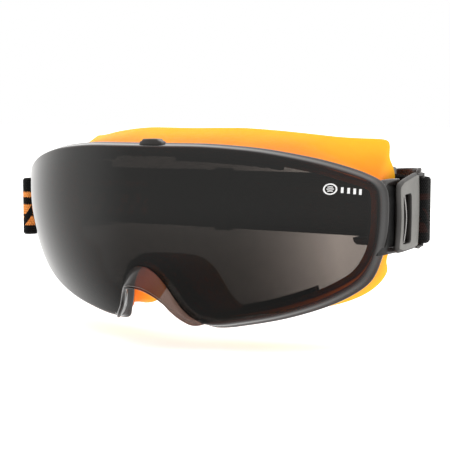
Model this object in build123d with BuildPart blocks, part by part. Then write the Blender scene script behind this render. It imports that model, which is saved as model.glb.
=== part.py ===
"""Panoramic welding goggles: toric smoked shield, soft face seal, swivelling buckles and elastic strap.

Frame in millimetres: +X is the wearer's left, -Y is the way the wearer looks, +Z is up.
The origin is on the centre plane, at eye height, where the seal meets the middle of the brow.
"""

import os

from build123d import *

os.makedirs("parts", exist_ok=True)

# Shield: a toric surface, that is an upright arc turned about an upright axis behind it.
lens_front_y = -40.0
plan_radius = 100.0
profile_radius = 88.0
crown_z = 10.0
lens_thickness = 2.2
rim_wall = 2.0
rim_depth = 6.5
rim_lip = 1.5
lip_depth = 2.0
plan_axis_y = lens_front_y + plan_radius
barrel_height = 54.0

# Shield outline seen from the front: x and z of the left-hand half, from the brow round to the nose bridge.
# Each arc of the outline starts and ends on an even point and passes through the odd one between.
shield_points = [
    *[(0, 28.4), (24, 28.3), (46, 26.4), (61, 23.0), (74.5, 18.0)],
    *[(78.3, 15.3), (79.5, 11.0), (79.0, -1.0), (76.0, -12.0)],
    *[(70.5, -19.6), (61.0, -25.4), (46.0, -30.8), (30.0, -34.3)],
    *[(23.0, -35.2), (17.5, -34.2), (12.9, -28.8), (10.2, -22.8), (6.4, -17.8), (0, -14.9)],
]

# Nose skirt: a hood that leaves the nose arch forwards and down.
skirt_wall = 1.8
skirt_root_y = -36.6
skirt_free_y = -42.8

# Ears: two arms and a post on each side of the shield.
post_x = 81.2
post_y = 13.5
post_radius = 1.5
eye_radius = 1.45
arm_inner_x = 79.2
ear_root_y = -2.0
pillar_inner_x = 78.1
pillar_outer_x = 81.7
pillar_depth = 4.0
upper_arm_z = 15.9
lower_arm_z = -11.2
arm_height = 2.8

# Catch on the brow of the rim.
catch_width = 11.0
catch_height = 2.0
catch_length = 4.0

# Face seal.
seal_wall = 2.6
seal_gap = 0.4
collar_start = 2.6
seat_thickness = 1.6
brow_radius = 94.5
temple_edge_y = 22.0
temple_notch_bottom_z = -16.0
temple_notch_height = 39.5
hook_notch_x = 77.8
hook_notch_bottom_z = -13.0
hook_notch_height = 31.0

# Ventilation inserts in the collar.
vent_start = 3.6
vent_end = 6.4
vent_gap = 0.1
upper_vent_span = (14.0, 50.0)
lower_vent_span = (34.0, 58.0)
louvre_pitch = 4.0
louvre_width = 1.6

# Strap webbing.
strap_width = 24.6
strap_z = 4.2
webbing = 1.5
layer_pitch = 1.6
bar_y = 31.2
bar_radius = 1.4
loop_radius = bar_radius + 0.2 + webbing / 2
band_y = 41.4
tail_y = band_y + layer_pitch
tail_end_x = -34.0
sewn_end_x = -50.0

# Buckles.
plate_outer_x = 84.6
plate_inner_x = 82.7
plate_front_y = 8.8
plate_rear_y = 27.4
plate_top_z = 18.8
plate_bottom_z = -10.0
slot_front_y = 12.0
slot_rear_y = 18.6
slot_top_z = 11.2
slot_bottom_z = -6.6
hook_gap = 0.08
horn_height = 3.4
horn_thickness = 1.7
lower_horn_height = 2.2

# Slider, keeper and strap tip.
slider_x = 58.0
slider_length = 16.0
bar_thickness = 1.8
keeper_x = -12.0
keeper_length = 7.0

# Strap slot in the buckles, hook round the post, stitching and keeper.
strap_gap = 0.4
strap_top = strap_z + strap_width / 2 + strap_gap
strap_bottom = strap_z - strap_width / 2 - strap_gap
hook_radius = 3.0
hook_lip = 0.5
hook_top_z = 13.2
hook_bottom_z = -8.6
tail_corner = 10.0
hem_length = 12.0
thread = 0.7
stitch_length = 2.2
stitch_pitch = 3.0
sewn_columns = (-53, -56, -62, -65)
hem_columns = (-31, -28, -25)
keeper_wall = 1.3
collar_outer = rim_wall + seal_gap
collar_inner = collar_outer + seal_wall
seat_overhang = 0.2

# Outer face of the face seal at three distances from the brow, drawn like the shield's outline.
seal_sections = {
    lens_front_y: [
        *[(0, 25.6), (23.5, 25.4), (45, 23.6), (59.5, 20.3), (72.6, 15.4)],
        *[(75.8, 13.2), (76.8, 10.2), (76.2, -0.8), (73.4, -10.8)],
        *[(68.2, -17.6), (59.4, -22.8), (45, -27.9), (29.8, -31.3)],
        *[(24.4, -32), (19.9, -31.4), (15.4, -26.6), (12.4, -20.8), (7.6, -14.6), (0, -11.8)],
    ],
    2.0: [
        *[(0, 35.3), (24, 34.6), (46, 31.2), (61, 26.4), (74.5, 19.6)],
        *[(77.2, 16.9), (78.2, 13.2), (78.0, 0), (75.2, -12)],
        *[(70, -20), (61, -26.4), (46, -33), (30.5, -37.4)],
        *[(24, -38.4), (18.6, -37.2), (14, -31), (11.2, -25.2), (7, -19.8), (0, -17.2)],
    ],
    42.0: [
        *[(0, 42), (24, 41.4), (44, 39.6), (57, 37.6), (67.5, 34)],
        *[(70, 30.6), (70.6, 26), (70.5, 4), (69, -14)],
        *[(65, -26), (58, -33.4), (45, -39.6), (32, -43)],
        *[(26, -44.2), (20.4, -42.8), (15.8, -36.8), (13, -30.6), (8.2, -24.6), (0, -22)],
    ],
}

FAR = 200.0


def front_plane(y):
    """Plane that faces the way the wearer looks, at the given y; sketches on it are in x and z."""
    return Plane.XZ.offset(-y)


def barrel(shift=0.0, inset=0.0):
    """Everything behind the shield's face, moved back by shift or drawn in by inset."""
    radius = profile_radius - inset
    heights = [barrel_height * step / 3 for step in range(-3, 4)]
    face_points = [(plan_radius - profile_radius + (radius**2 - z**2) ** 0.5, z) for z in heights]
    side_plane = Plane(origin=(0, plan_axis_y + shift, crown_z), x_dir=(-1, 0, 0), z_dir=(0, 1, 0))
    with BuildPart() as solid:
        with BuildSketch(side_plane):
            with BuildLine():
                Spline(*face_points)
                Polyline(face_points[0], (0, -barrel_height), (0, barrel_height), face_points[-1])
            make_face()
        revolve(axis=Axis((0, plan_axis_y + shift, 0), (0, 0, 1)), revolution_arc=180)
    return solid.part


def runs(points):
    """Direction of travel at each point of a half outline, from its neighbours on either side."""
    first = Vector(-points[1][0], points[1][1])
    last = Vector(-points[-2][0], points[-2][1])
    ring = [first] + [Vector(*point) for point in points] + [last]
    return [(after - before).normalized() for before, after in zip(ring, ring[2:])]


def goggle_outline(points, inset=0.0):
    """Closed outline seen from the front, drawn in by inset, from the points of its left-hand half."""
    moved = [Vector(*p) + Vector(t.Y, -t.X) * inset for p, t in zip(points, runs(points))]
    with BuildSketch(Plane.XY) as flat:
        with BuildLine():
            for start in range(0, len(points) - 1, 2):
                ThreePointArc(*moved[start : start + 3])
            mirror(about=Plane.YZ)
        make_face()
    return flat.sketch


def prism(inset=0.0, hole_inset=None, front=-60.0, rear=45.0):
    """Shield outline, drawn in by inset, carried straight back; hollow if hole_inset is given."""
    with BuildPart() as block:
        with BuildSketch(front_plane(front)):
            add(goggle_outline(shield_points, inset))
            if hole_inset is not None:
                add(goggle_outline(shield_points, hole_inset), mode=Mode.SUBTRACT)
        extrude(amount=front - rear)
    return block.part


def rim_band(inset, hole_inset, shift_from, shift_to):
    """Band along the outline, between two distances straight behind the face."""
    with BuildPart() as band:
        add(prism(inset, hole_inset))
        add(barrel(shift_from), mode=Mode.INTERSECT)
        add(barrel(shift_to), mode=Mode.SUBTRACT)
    return band.part


def face_y(x):
    """Where the shield's face is, at crown height, at the given x."""
    return plan_axis_y - (plan_radius**2 - x**2) ** 0.5


def arch_face(points, wall):
    """Arch-shaped band from a list of right-hand points that end at its crown."""
    outer = [(x + wall, z + wall * 0.5) for x, z in points[:-1]] + [(0, points[-1][1] + wall)]
    with BuildSketch(Plane.XY) as band:
        with BuildLine():
            low = Spline(*points, tangents=[(-0.6, 1), (-1, 0)])
            high = Spline(*outer, tangents=[(-0.6, 1), (-1, 0)])
            Line(low @ 0, high @ 0)
            mirror(about=Plane.YZ)
        make_face()
    return band.sketch


# ---- Shield ----

root_plane = Plane(origin=(0, skirt_root_y, -15.6), x_dir=(1, 0, 0), z_dir=(0, -0.88, -0.47))
free_plane = Plane(origin=(0, skirt_free_y, -21.5), x_dir=(1, 0, 0), z_dir=(0, -0.74, -0.67))

with BuildPart() as nose_skirt:
    with BuildSketch(root_plane):
        add(arch_face([(15.4, -20.0), (11.8, -13.0), (8.4, -5.2), (4.6, -1.2), (0, 0)], skirt_wall))
    with BuildSketch(free_plane):
        add(arch_face([(14.4, -16.4), (10.5, -9.6), (7.4, -5.0), (4.0, -1.2), (0, 0)], skirt_wall))
    loft()

with BuildPart() as ear:
    for arm_z in (upper_arm_z, lower_arm_z):
        with BuildSketch(Plane.XY.offset(arm_z - arm_height / 2)):
            with Locations((arm_inner_x, ear_root_y)):
                Rectangle(post_x - arm_inner_x, post_y - ear_root_y, align=(Align.MIN, Align.MIN))
            with Locations((post_x, post_y)):
                Circle(eye_radius)
        extrude(amount=arm_height)
    with BuildSketch(Plane.XY.offset(lower_arm_z)):
        with Locations((post_x, post_y)):
            Circle(post_radius)
    extrude(amount=upper_arm_z - lower_arm_z)
    with BuildSketch(Plane.XY.offset(lower_arm_z - arm_height / 2)):
        with Locations((pillar_inner_x, ear_root_y)):
            Rectangle(pillar_outer_x - pillar_inner_x, pillar_depth, align=(Align.MIN, Align.MIN))
    extrude(amount=upper_arm_z - lower_arm_z + arm_height)

with BuildPart() as hollow:
    add(prism(rim_wall))
    add(barrel(inset=lens_thickness), mode=Mode.INTERSECT)

with BuildPart() as lens_shield:
    add(prism())
    add(barrel(), mode=Mode.INTERSECT)
    add(barrel(rim_depth), mode=Mode.SUBTRACT)
    add(hollow.part, mode=Mode.SUBTRACT)
    add(rim_band(-rim_lip, rim_wall / 2, rim_depth - lip_depth, rim_depth))
    add(nose_skirt.part)
    add(ear.part)
    add(mirror(ear.part, about=Plane.YZ))
    with BuildSketch(Plane.XY.offset(shield_points[0][1] - 0.5)):
        with Locations((0, lens_front_y + rim_depth - catch_length / 2)):
            Rectangle(catch_width, catch_length)
    extrude(amount=rim_lip + catch_height + 0.5)
lens_shield.part.label = "lens_shield"
export_step(lens_shield.part, "parts/lens_shield.step")

# ---- Face seal ----


def seal_loft(inset):
    """Body through the seal's three sections, drawn in by inset."""
    with BuildPart() as block:
        for y, points in seal_sections.items():
            with BuildSketch(front_plane(y)):
                add(goggle_outline(points, inset))
        loft(ruled=True)
    return block.part


def vent_block(span, top, inset_from, inset_to, margin):
    """Stretch of the collar between two x values, on the brow or the cheek side."""
    with BuildPart() as block:
        add(rim_band(inset_from, inset_to, vent_start - margin, vent_end + margin))
        with BuildSketch(Plane.XY):
            with Locations(((span[0] + span[1]) / 2, 0)):
                Rectangle(span[1] - span[0] + 2 * margin, FAR)
        extrude(amount=FAR if top else -FAR, mode=Mode.INTERSECT)
    return block.part


def vent_window(span, top):
    """Hole through the collar for one insert."""
    return vent_block(span, top, collar_outer - 0.5, collar_inner + 0.5, vent_gap)


def vent_insert(span, top):
    """Louvred strip that fills one window in the collar."""
    count = int((span[1] - span[0]) / louvre_pitch) - 1
    with BuildPart() as strip:
        add(vent_block(span, top, collar_outer, collar_inner, 0))
        with BuildSketch(Plane.XY.offset(-FAR / 2)):
            for index in range(count):
                x = span[0] + (index + 1) * (span[1] - span[0]) / (count + 1)
                with Locations((x, face_y(x) + (vent_start + vent_end) / 2)):
                    Rectangle(louvre_width, vent_end - vent_start - 1.2)
        extrude(amount=FAR, mode=Mode.SUBTRACT)
    return strip.part


vent_places = {"upper": (upper_vent_span, True), "lower": (lower_vent_span, False)}

seat_start = rim_depth + seal_gap
seat_end = seat_start + seat_thickness
with BuildPart() as seal_carrier:
    add(rim_band(collar_outer, collar_inner, collar_start, seat_end))
    add(rim_band(-seat_overhang, collar_inner, seat_start, seat_end))
    add(barrel(inset=lens_thickness + seal_gap), mode=Mode.INTERSECT)
    for span, top in vent_places.values():
        window = vent_window(span, top)
        add(window, mode=Mode.SUBTRACT)
        add(mirror(window, about=Plane.YZ), mode=Mode.SUBTRACT)
    with BuildSketch(Plane.XY.offset(hook_notch_bottom_z)):
        with Locations((hook_notch_x, 0), (-hook_notch_x - FAR, 0)):
            Rectangle(FAR, FAR, align=(Align.MIN, Align.CENTER))
    extrude(amount=hook_notch_height, mode=Mode.SUBTRACT)
seal_carrier.part.label = "seal_carrier"
export_step(seal_carrier.part, "parts/seal_carrier.step")

with BuildPart() as face_skirt:
    add(seal_loft(0))
    with BuildSketch(Plane.XY.offset(-FAR / 2)):
        with Locations((0, brow_radius)):
            Circle(brow_radius)
    extrude(amount=FAR, mode=Mode.SUBTRACT)
    add(barrel(seat_end), mode=Mode.INTERSECT)
    add(seal_loft(seal_wall), mode=Mode.SUBTRACT)
    with BuildSketch(Plane.YZ.offset(-FAR / 2)):
        with Locations((temple_edge_y, temple_notch_bottom_z)):
            Rectangle(FAR, temple_notch_height, align=(Align.MIN, Align.MIN))
    extrude(amount=FAR, mode=Mode.SUBTRACT)
face_skirt.part.label = "face_skirt"
export_step(face_skirt.part, "parts/face_skirt.step")

for place, (span, top) in vent_places.items():
    insert = vent_insert(span, top)
    for side, piece in (("left", insert), ("right", mirror(insert, about=Plane.YZ))):
        piece.label = f"{place}_vent_insert_{side}"
        export_step(piece, f"parts/{piece.label}.step")

# ---- Buckles ----

with BuildPart() as buckle:
    with BuildSketch(Plane.YZ.offset(plate_inner_x)):
        with BuildLine():
            foot = Line((plate_front_y, plate_bottom_z), (plate_rear_y - 0.6, plate_bottom_z + 0.3))
            back = ThreePointArc(foot @ 1, (plate_rear_y + 0.6, 5.0), (plate_rear_y, plate_top_z))
            brow = Line(back @ 1, (plate_front_y + 0.4, plate_top_z - 2.6))
            ThreePointArc(brow @ 1, (plate_front_y + 0.6, 3.0), foot @ 0)
        make_face()
        fillet(vertices(), 1.8)
        with Locations(((slot_front_y + slot_rear_y) / 2, (slot_top_z + slot_bottom_z) / 2)):
            RectangleRounded(slot_rear_y - slot_front_y, slot_top_z - slot_bottom_z, 1.2, mode=Mode.SUBTRACT)
    extrude(amount=plate_outer_x - plate_inner_x)
    with BuildSketch(Plane.XY.offset(hook_bottom_z)):
        with Locations((post_x, post_y)):
            Circle(hook_radius)
        with Locations(((post_x + plate_inner_x) / 2, (plate_front_y + 0.7 + post_y) / 2)):
            Rectangle(hook_radius, post_y - plate_front_y - 0.7)
        with Locations((post_x, post_y)):
            Circle(post_radius + hook_gap, mode=Mode.SUBTRACT)
        with Locations((post_x, post_y + hook_lip)):
            Rectangle(4 * hook_radius, 4 * hook_radius, align=(Align.CENTER, Align.MIN), mode=Mode.SUBTRACT)
    extrude(amount=hook_top_z - hook_bottom_z)
    for low, high in ((strap_top, plate_top_z - 0.4), (plate_bottom_z + 0.5, strap_bottom)):
        with BuildSketch(Plane.XY.offset(low)):
            with BuildLine():
                Polyline(
                    (plate_outer_x, plate_rear_y - 2),
                    (plate_outer_x, bar_y - 0.5),
                    (post_x + 1.6, bar_y + 1.6),
                    (post_x - 1.4, bar_y + 1.4),
                    (post_x - 1.4, bar_y - 1.0),
                    (plate_inner_x, plate_rear_y - 2),
                    close=True,
                )
            make_face()
        extrude(amount=high - low)
    with BuildSketch(Plane.XY.offset(plate_bottom_z + 0.5)):
        with Locations((post_x, bar_y)):
            Circle(bar_radius)
    extrude(amount=plate_top_z - plate_bottom_z - 0.9)
    for low, height in ((strap_top, horn_height), (strap_bottom - lower_horn_height, lower_horn_height)):
        with BuildSketch(Plane.XY.offset(low)):
            with BuildLine():
                Spline((plate_inner_x + 0.9, bar_y - 2), (post_x - 1.2, bar_y + 4.6), (68.5, 39.0), tangents=[(0, 1), (-1, 0.1)])
            trace(line_width=horn_thickness)
        extrude(amount=height)
for side, piece in (("left", buckle.part), ("right", mirror(buckle.part, about=Plane.YZ))):
    piece.label = f"buckle_{side}"
    export_step(piece, f"parts/{piece.label}.step")

# ---- Strap ----

inner_loop_x = post_x - loop_radius
outer_loop_x = post_x + loop_radius


def corner_arc(side, loop_x, radius):
    """Quarter turn of the webbing from a buckle's bar round to the band across the back."""
    centre_x = side * (loop_x - radius)
    diagonal = radius * 0.5**0.5
    return (
        (side * loop_x, bar_y),
        (centre_x + side * diagonal, bar_y + diagonal),
        (centre_x, bar_y + radius),
    )


with BuildPart() as strap_band:
    with BuildSketch(Plane.XY.offset(strap_bottom + strap_gap)):
        with BuildLine():
            sewn = corner_arc(-1, inner_loop_x, band_y - layer_pitch - bar_y)
            Line((sewn_end_x, sewn[2][1]), sewn[2])
            ThreePointArc(*sewn)
            ThreePointArc(sewn[0], (-post_x, bar_y - loop_radius), (-outer_loop_x, bar_y))
            left_corner = corner_arc(-1, outer_loop_x, band_y - bar_y)
            right_corner = corner_arc(1, inner_loop_x, band_y - bar_y)
            ThreePointArc(*left_corner)
            Line(left_corner[2], right_corner[2])
            ThreePointArc(*right_corner)
            ThreePointArc(right_corner[0], (post_x, bar_y - loop_radius), (outer_loop_x, bar_y))
            Line((outer_loop_x, bar_y), (outer_loop_x, tail_y - tail_corner))
            diagonal = tail_corner * 0.5**0.5
            ThreePointArc(
                (outer_loop_x, tail_y - tail_corner),
                (outer_loop_x - tail_corner + diagonal, tail_y - tail_corner + diagonal),
                (outer_loop_x - tail_corner, tail_y),
            )
            Line((outer_loop_x - tail_corner, tail_y), (tail_end_x, tail_y))
            ThreePointArc(
                (tail_end_x, tail_y),
                (tail_end_x - layer_pitch / 2, tail_y + layer_pitch / 2),
                (tail_end_x, tail_y + layer_pitch),
            )
            Line((tail_end_x, tail_y + layer_pitch), (tail_end_x + hem_length, tail_y + layer_pitch))
        trace(line_width=webbing)
    extrude(amount=strap_width)
strap_band.part.label = "strap_band"
export_step(strap_band.part, "parts/strap_band.step")


def stitch_rows(columns, y_low, y_high):
    """Upright rows of short stitches that lie on a face of the webbing, one row per x in columns."""
    count = int((strap_width - 4) / stitch_pitch)
    with BuildPart() as rows:
        with BuildSketch(Plane.XZ.offset(-y_low)):
            for x in columns:
                with Locations((x, strap_z)):
                    with GridLocations(1, stitch_pitch, 1, count):
                        SlotOverall(stitch_length, thread, rotation=90)
        extrude(amount=y_low - y_high)
    return rows.part


band_inner_y = band_y - webbing / 2
with BuildPart() as sewn_end_stitching:
    add(stitch_rows(sewn_columns, band_y + webbing / 2, band_y + webbing / 2 + thread / 2))
    add(stitch_rows(sewn_columns, band_inner_y - layer_pitch - thread / 2, band_inner_y - layer_pitch))
sewn_end_stitching.part.label = "sewn_end_stitching"
export_step(sewn_end_stitching.part, "parts/sewn_end_stitching.step")

hem_outer_y = tail_y + layer_pitch + webbing / 2
with BuildPart() as hem_stitching:
    add(stitch_rows(hem_columns, hem_outer_y, hem_outer_y + thread / 2))
hem_stitching.part.label = "hem_stitching"
export_step(hem_stitching.part, "parts/hem_stitching.step")

# ---- Slider and keeper ----

layers_front = band_y - webbing / 2 - 0.2
layers_rear = tail_y + webbing / 2 + 0.2
rail_height = 2.8

with BuildPart() as strap_slider:
    with BuildSketch(front_plane(layers_front - bar_thickness)):
        with Locations((slider_x, strap_z)):
            RectangleRounded(slider_length, strap_width + 2 * strap_gap + 2 * rail_height, 2.4)
            Rectangle(FAR, strap_width + 2 * strap_gap, mode=Mode.SUBTRACT)
    extrude(amount=layers_front - layers_rear - 2 * bar_thickness)
    with BuildSketch(front_plane(layers_rear)):
        for x in (slider_x - slider_length / 2 + 1.5, slider_x + slider_length / 2 - 1.5):
            with Locations((x, strap_z)):
                Rectangle(3.0, strap_width + 2 * strap_gap + 2)
    extrude(amount=-bar_thickness)
    with BuildSketch(front_plane(layers_front)):
        with Locations((slider_x, strap_z)):
            Rectangle(3.4, strap_width + 2 * strap_gap + 2)
    extrude(amount=bar_thickness)
strap_slider.part.label = "strap_slider"
export_step(strap_slider.part, "parts/strap_slider.step")

with BuildPart() as strap_keeper:
    with BuildSketch(Plane.YZ.offset(keeper_x - keeper_length / 2)):
        with Locations(((layers_front + layers_rear) / 2, strap_z)):
            RectangleRounded(
                layers_rear - layers_front + 2 * keeper_wall,
                strap_width + 2 * strap_gap + 2 * keeper_wall,
                1.4,
            )
            Rectangle(layers_rear - layers_front, strap_width + 2 * strap_gap, mode=Mode.SUBTRACT)
    extrude(amount=keeper_length)
strap_keeper.part.label = "strap_keeper"
export_step(strap_keeper.part, "parts/strap_keeper.step")
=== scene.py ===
"""Welding goggles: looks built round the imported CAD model. Lengths here are in millimetres until `M` turns them
into metres. Same frame as the CAD: +X is the wearer's left, -Y is the way the wearer looks, +Z is up."""

import math

import bpy
import numpy as np
from mathutils import Matrix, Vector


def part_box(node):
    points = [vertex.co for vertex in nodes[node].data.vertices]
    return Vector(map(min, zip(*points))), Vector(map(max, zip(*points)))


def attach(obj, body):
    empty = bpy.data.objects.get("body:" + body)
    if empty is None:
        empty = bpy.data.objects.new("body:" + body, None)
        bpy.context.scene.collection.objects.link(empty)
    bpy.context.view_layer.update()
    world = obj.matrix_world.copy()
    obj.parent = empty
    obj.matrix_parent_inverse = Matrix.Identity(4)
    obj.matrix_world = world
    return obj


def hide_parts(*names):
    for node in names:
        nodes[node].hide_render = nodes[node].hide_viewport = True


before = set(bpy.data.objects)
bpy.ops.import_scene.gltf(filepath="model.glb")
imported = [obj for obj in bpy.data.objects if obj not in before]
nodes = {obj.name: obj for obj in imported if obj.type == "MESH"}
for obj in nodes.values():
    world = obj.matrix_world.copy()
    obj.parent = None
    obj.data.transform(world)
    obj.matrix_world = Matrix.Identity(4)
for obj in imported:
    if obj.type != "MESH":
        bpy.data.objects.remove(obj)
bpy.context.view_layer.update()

M = 0.001

# ---------------------------------------------------------------- curves and meshes


def chain(points, per_span=12, closed=False):
    """Smooth curve through points, with per_span steps between each pair."""
    p = np.array(points, float)
    n = len(p)
    if closed:
        p = np.vstack([p[-1], p, p[0], p[1]])
        spans = n
    else:
        p = np.vstack([2 * p[0] - p[1], p, 2 * p[-1] - p[-2]])
        spans = n - 1
    out = []
    for i in range(spans):
        a, b, c, d = p[i : i + 4]
        t1 = max(np.linalg.norm(b - a) ** 0.5, 1e-6)
        t2 = t1 + max(np.linalg.norm(c - b) ** 0.5, 1e-6)
        t3 = t2 + max(np.linalg.norm(d - c) ** 0.5, 1e-6)
        for t in np.linspace(t1, t2, per_span, endpoint=False):
            a1 = (t1 - t) / t1 * a + t / t1 * b
            a2 = (t2 - t) / (t2 - t1) * b + (t - t1) / (t2 - t1) * c
            a3 = (t3 - t) / (t3 - t2) * c + (t - t2) / (t3 - t2) * d
            b1 = (t2 - t) / t2 * a1 + t / t2 * a2
            b2 = (t3 - t) / (t3 - t1) * a2 + (t - t1) / (t3 - t1) * a3
            out.append((t2 - t) / (t2 - t1) * b1 + (t - t1) / (t2 - t1) * b2)
    if not closed:
        out.append(p[-2])
    return np.array(out)


def make(name, verts, faces, body, materials, smooth=True, face_material=None, floats=None):
    """New mesh piece from millimetre vertices that rides on a CAD body."""
    mesh = bpy.data.meshes.new(name)
    points = [tuple(v) for v in np.array(verts, float) * M]
    mesh.from_pydata(points, [], [tuple(int(i) for i in f) for f in faces])
    mesh.validate()
    for material in materials:
        mesh.materials.append(material)
    if face_material is not None:
        mesh.polygons.foreach_set("material_index", np.array(face_material, np.int32))
    for key, values in (floats or {}).items():
        layer = mesh.attributes.new(key, "FLOAT", "POINT")
        layer.data.foreach_set("value", np.array(values, np.float32))
    mesh.update()
    if smooth:
        mesh.polygons.foreach_set("use_smooth", [True] * len(mesh.polygons))
    obj = bpy.data.objects.new(name, mesh)
    bpy.context.scene.collection.objects.link(obj)
    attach(obj, body)
    return obj


def skin(sections, cap=True, closed=False):
    """Vertices and faces of the surface through closed loops of points. cap fills the two end loops."""
    rings = [np.array(s, float) for s in sections]
    n = len(rings[0])
    verts = np.vstack(rings)
    faces = []
    count = len(rings)
    for i in range(count if closed else count - 1):
        j = (i + 1) % count
        for k in range(n):
            m = (k + 1) % n
            faces.append((i * n + k, i * n + m, j * n + m, j * n + k))
    if cap and not closed:
        for ring_index, flip in ((0, True), (count - 1, False)):
            centre = len(verts)
            verts = np.vstack([verts, rings[ring_index].mean(axis=0)])
            for k in range(n):
                a, b = ring_index * n + k, ring_index * n + (k + 1) % n
                faces.append((b, a, centre) if flip else (a, b, centre))
    return verts, faces


def outward(verts, faces):
    """Faces turned so that the closed surface faces outwards."""
    v = np.array(verts, float)
    volume = 0.0
    for f in faces:
        for k in range(1, len(f) - 1):
            volume += np.dot(v[f[0]], np.cross(v[f[k]], v[f[k + 1]]))
    return [tuple(reversed(f)) for f in faces] if volume < 0 else faces


def rounded(width, height, radius, steps=5):
    """Loop of a rounded rectangle about the origin."""
    loop = []
    for cx, cy, start in (
        (width / 2 - radius, height / 2 - radius, 0),
        (-width / 2 + radius, height / 2 - radius, 90),
        (-width / 2 + radius, -height / 2 + radius, 180),
        (width / 2 - radius, -height / 2 + radius, 270),
    ):
        for k in range(steps + 1):
            a = math.radians(start + 90 * k / steps)
            loop.append((cx + radius * math.cos(a), cy + radius * math.sin(a)))
    return np.array(loop)


def sweep(path, sizes, up=(0, 0, 1), radius=0.5, ends=0.35):
    """Rounded bar along a path, with its ends rounded off. sizes is one (across, along up) pair, or one a point."""
    p = np.array(path, float)
    n = len(p)
    sizes = np.array(sizes, float)
    if sizes.ndim == 1:
        sizes = np.tile(sizes, (n, 1))
    up = np.array(up, float)
    tangents = np.gradient(p, axis=0)
    tangents /= np.linalg.norm(tangents, axis=1)[:, None]

    def section(centre, tangent, size):
        side = np.cross(tangent, up)
        side /= np.linalg.norm(side)
        above = np.cross(side, tangent)
        r = min(radius, size[0] / 2.02, size[1] / 2.02)
        loop = rounded(size[0], size[1], r)
        return centre + loop[:, :1] * side + loop[:, 1:] * above

    def end_section(i, way, k):
        """Smaller section just past the path's end i; k runs from 0 at the tip to 1 at full size."""
        return section(p[i] + way * tangents[i] * ends * (1 - k), tangents[i], sizes[i] - 2 * ends * (1 - k) ** 1.5)

    sections = [end_section(0, -1, k) for k in (0.25, 0.7)]
    sections += [section(p[i], tangents[i], sizes[i]) for i in range(n)]
    sections += [end_section(-1, 1, k) for k in (0.7, 0.25)]
    verts, faces = skin(sections)
    return verts, outward(verts, faces)


def mirrored(verts, faces):
    """The same piece on the other side of the centre plane."""
    v = np.array(verts, float).copy()
    v[:, 0] *= -1
    return v, [tuple(reversed(f)) for f in faces]


# ---------------------------------------------------------------- materials


def material(name):
    mat = bpy.data.materials.new(name)
    mat.use_nodes = True
    tree = mat.node_tree
    tree.nodes.clear()
    return mat, tree


def node(tree, kind, links=None, **values):
    """New node. values set its properties; links and plain numbers set its inputs by name or index."""
    new = tree.nodes.new(kind)
    for key, value in values.items():
        setattr(new, key, value)
    for key, value in (links or {}).items():
        socket = new.inputs[key]
        if isinstance(value, bpy.types.NodeSocket):
            tree.links.new(value, socket)
        else:
            socket.default_value = value
    return new


def calc(tree, operation, *inputs, clamp=False):
    links = dict(enumerate(inputs))
    return node(tree, "ShaderNodeMath", links, operation=operation, use_clamp=clamp).outputs[0]


def mix_colour(tree, share, a, b):
    mixer = node(tree, "ShaderNodeMix", {0: share, 6: a, 7: b}, data_type="RGBA")
    return mixer.outputs[2]


def noise(tree, scale, detail=3.0, roughness=0.5, vector=None):
    links = {"Scale": scale, "Detail": detail, "Roughness": roughness}
    if vector is not None:
        links["Vector"] = vector
    return node(tree, "ShaderNodeTexNoise", links).outputs[0]


def position(tree):
    return node(tree, "ShaderNodeTexCoord").outputs["Object"]


def spread(tree, value, low, high):
    """Noise value, which mostly lies from 0.3 to 0.7, stretched over low to high."""
    return node(tree, "ShaderNodeMapRange", {0: value, 1: 0.3, 2: 0.7, 3: low, 4: high}).outputs[0]


def finish_material(tree, shader):
    out = node(tree, "ShaderNodeOutputMaterial")
    tree.links.new(shader, out.inputs[0])


def repaint(name, looks):
    """Procedural material on a CAD node that stays as it is."""
    nodes[name].data.materials.clear()
    nodes[name].data.materials.append(looks)


def moulded(name, dark, light, rough=(0.35, 0.5), grain=2600.0, depth=0.12, coat=0.0, subsurface=0.0, edge=0.0):
    """Moulded plastic or rubber: cloudy colour, fine grain, faint rubbed marks and softened edges."""
    mat, tree = material(name)
    where = position(tree)
    cloud = noise(tree, 90.0, 4.0, 0.55, where)
    colour = mix_colour(tree, spread(tree, cloud, 0.0, 1.0), (*dark, 1), (*light, 1))
    scuff = noise(tree, 700.0, 6.0, 0.7, where)
    roughness = spread(tree, scuff, *rough)
    links = {"Strength": depth, "Distance": 0.0001, "Height": noise(tree, grain, 2.0, 0.5, where)}
    if edge:
        links["Normal"] = node(tree, "ShaderNodeBevel", {"Radius": edge}, samples=4).outputs[0]
    bump = node(tree, "ShaderNodeBump", links).outputs[0]
    links = {"Base Color": colour, "Roughness": roughness, "Normal": bump, "Coat Weight": coat}
    links.update({"Coat Roughness": 0.15, "Subsurface Weight": subsurface, "Subsurface Scale": 0.004})
    finish_material(tree, node(tree, "ShaderNodeBsdfPrincipled", links).outputs[0])
    return mat


# Where the shield's tint starts to lighten, how far that takes (metres), how sharply, and its least and added share.
GRADE_START, GRADE_SPAN, GRADE_POWER, GRADE_LEAST, GRADE_GAIN = 0.008, 0.060, 5.0, 0.065, 0.78
WHITE = (1, 1, 1, 1)


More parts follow.
